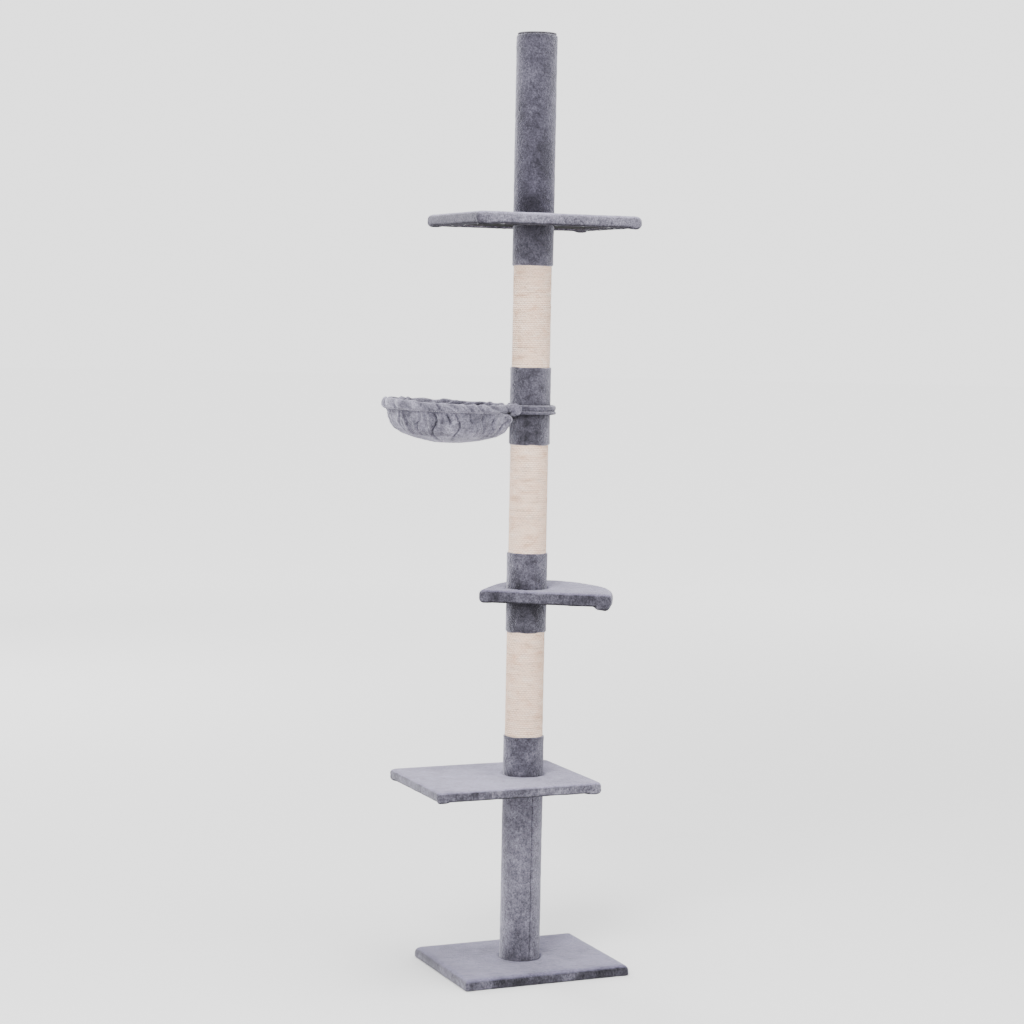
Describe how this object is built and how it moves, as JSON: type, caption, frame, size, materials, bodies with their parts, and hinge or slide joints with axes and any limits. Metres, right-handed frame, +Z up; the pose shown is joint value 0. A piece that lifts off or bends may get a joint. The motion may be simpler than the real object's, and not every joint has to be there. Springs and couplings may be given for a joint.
{
  "type": "cat tree",
  "caption": "Floor-to-ceiling cat tree: plush and sisal posts in one column, with a base, platforms, a half-round shelf, a hanging hammock and a top post that screws out to the ceiling.",
  "frame": {"origin": "on the floor, on the axis of the column of posts", "axes": "+Z up along the column; X along the base's long edges, -X to the side on which the lower platform is set off; the camera of the picture looks from azimuth -23 degrees"},
  "size_m": [0.5734, 0.4001, 2.283],
  "materials": {
    "plush_light": "short plush, light where the nap faces up",
    "plush_post": "short plush",
    "plush_hammock": "short plush, gathered",
    "sisal": "wound sisal rope",
    "wood": "raw particle board",
    "cardboard": "raw cardboard",
    "felt": "non-woven cloth",
    "rubber": "matte",
    "steel": "zinc plated"
  },
  "bodies": {
    "column": {"base_board": "wood", "base_cover": "plush_light", "base_pad": "felt", "base_washer": "steel", "base_bolt": "steel", "post1_tube": "cardboard", "post1_plug_low": "wood", "post1_plug_high": "wood", "post1_plush": "plush_post", "stud1": "steel", "post2_tube": "cardboard", "post2_plug_low": "wood", "post2_plug_high": "wood", "post2_collar_low": "plush_post", "post2_sisal": "sisal", "post2_collar_high": "plush_post", "stud2": "steel", "post3_tube": "cardboard", "post3_plug_low": "wood", "post3_plug_high": "wood", "post3_collar_low": "plush_post", "post3_sisal": "sisal", "post3_collar_high": "plush_post", "stud3": "steel", "clamp_disc": "wood", "post4_tube": "cardboard", "post4_plug_low": "wood", "post4_plug_high": "wood", "post4_collar_low": "plush_post", "post4_sisal": "sisal", "post4_collar_high": "plush_post", "threaded_rod": "steel", "rod_nut_low": "steel", "rod_washer": "steel", "lock_nut": "steel"},
    "platform_1": {"platform1_board": "wood", "platform1_cover": "plush_light", "platform1_lining": "felt", "platform1_staples": "steel"},
    "platform_2": {"platform2_board": "wood", "platform2_cover": "plush_light", "platform2_lining": "felt", "platform2_staples": "steel"},
    "platform_3": {"platform3_board": "wood", "platform3_cover": "plush_light", "platform3_lining": "felt", "platform3_staples": "steel"},
    "hammock": {"hammock_frame": "steel", "hammock_casing": "plush_hammock", "hammock_pouch": "plush_hammock", "hammock_loop_sleeve": "plush_hammock"},
    "ceiling_pad": {"pad_disc": "wood", "pad_rubber": "rubber", "pad_bolt": "steel"},
    "top_post": {"top_tube": "cardboard", "top_plug_low": "wood", "top_plug_high": "wood", "captive_nut": "steel", "top_plush": "plush_post"}
  },
  "joints": [
    {"name": "platform_1_swivel", "type": "hinge", "parent": "column", "child": "platform_1", "pos_m": [0, 0, 0.47], "axis": [0, 0, 1], "continuous": true},
    {"name": "platform_2_swivel", "type": "hinge", "parent": "column", "child": "platform_2", "pos_m": [0, 0, 0.925], "axis": [0, 0, 1], "continuous": true},
    {"name": "platform_3_swivel", "type": "hinge", "parent": "column", "child": "platform_3", "pos_m": [0, 0, 1.83], "axis": [0, 0, 1], "continuous": true},
    {"name": "hammock_swivel", "type": "hinge", "parent": "column", "child": "hammock", "pos_m": [0, 0, 1.382], "axis": [0, 0, 1], "continuous": true},
    {"name": "ceiling_screw_lift", "type": "slide", "parent": "column", "child": "ceiling_pad", "axis": [0, 0, 1], "range_m": [0, 0.3]},
    {"name": "top_post_turn", "type": "hinge", "parent": "ceiling_pad", "child": "top_post", "pos_m": [0, 0, 2.06], "axis": [0, 0, 1], "continuous": true}
  ],
  "couplings": [
    {"joint": "top_post_turn", "follows": "ceiling_screw_lift", "rad_per_m": 1570.8}
  ]
}
